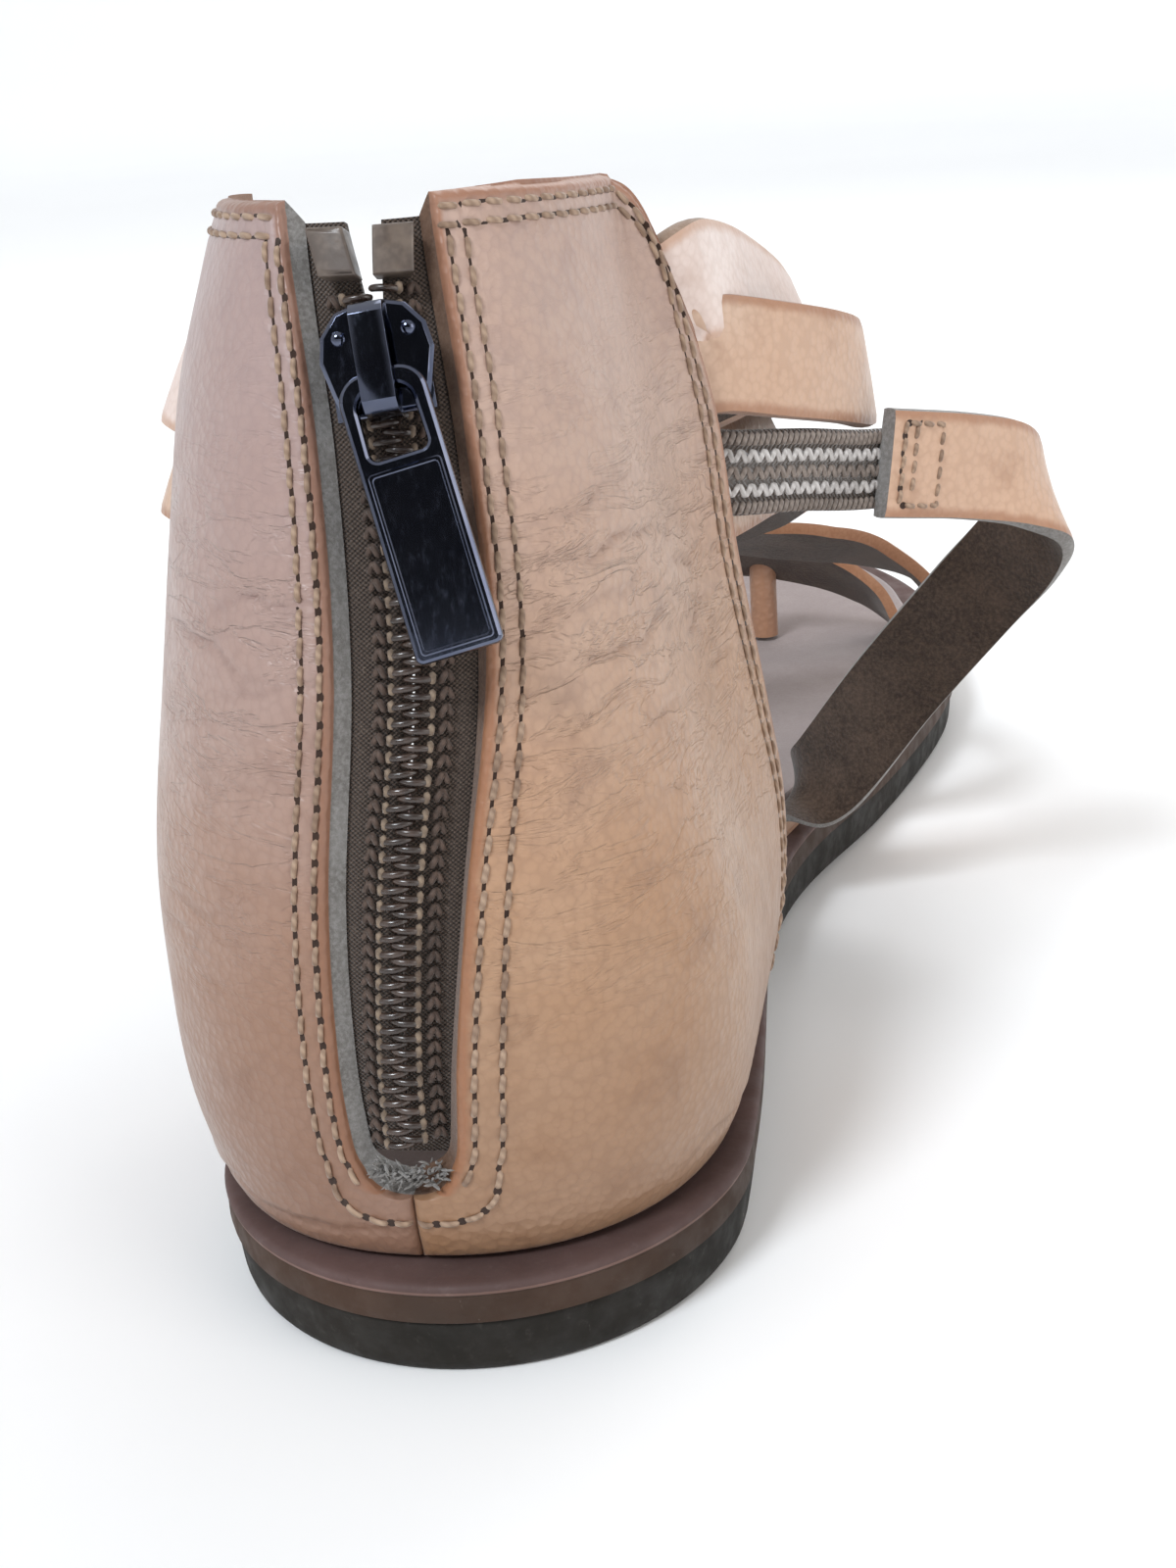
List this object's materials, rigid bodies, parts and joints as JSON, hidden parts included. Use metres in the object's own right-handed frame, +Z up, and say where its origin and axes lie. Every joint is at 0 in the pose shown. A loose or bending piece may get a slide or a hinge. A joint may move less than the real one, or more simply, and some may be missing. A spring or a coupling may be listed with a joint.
{
  "type": "gladiator sandal, left shoe",
  "caption": "Flat left gladiator sandal: leather heel counter with a back zip, ankle, side, instep and toe straps, elastic gore, layered flat sole.",
  "frame": {"origin": "on the floor under the middle of the heel's flat tread", "axes": "+Y towards the toe, +X towards the medial side, +Z up"},
  "size_m": [0.1049, 0.2519, 0.1028],
  "materials": {
    "outsole_rubber": "matte, scuffed",
    "midsole_band": "matte",
    "footbed_cloth": "soft matte",
    "counter_leather": "natural grain, satin",
    "strap_leather": "natural grain, satin, suede inside",
    "zip_tape": "woven",
    "zip_coil": "glossy nylon",
    "zip_stop": "satin",
    "gunmetal": "dark polished plate",
    "elastic": "ribbed, silky"
  },
  "bodies": {
    "sandal": {"outsole": "outsole_rubber", "midsole": "midsole_band", "footbed": "footbed_cloth", "heel_counter": "counter_leather", "zip_tape_lateral": "zip_tape", "zip_tape_medial": "zip_tape", "zip_coil_lateral": "zip_coil", "zip_coil_medial": "zip_coil", "zip_stop_lateral": "zip_stop", "zip_stop_medial": "zip_stop", "zip_slider": "gunmetal", "ankle_straps": "strap_leather", "side_elastic": "elastic", "side_strap": "strap_leather", "instep_straps": "strap_leather", "toe_strap": "strap_leather"},
    "pull": {"zip_pull": "gunmetal"}
  },
  "joints": [
    {"name": "pull_swing", "type": "hinge", "parent": "sandal", "child": "pull", "pos_m": [0.00285, -0.02436, 0.08889], "axis": [-0.9536, -0.1981, -0.2267], "range_deg": [0, 150]}
  ]
}
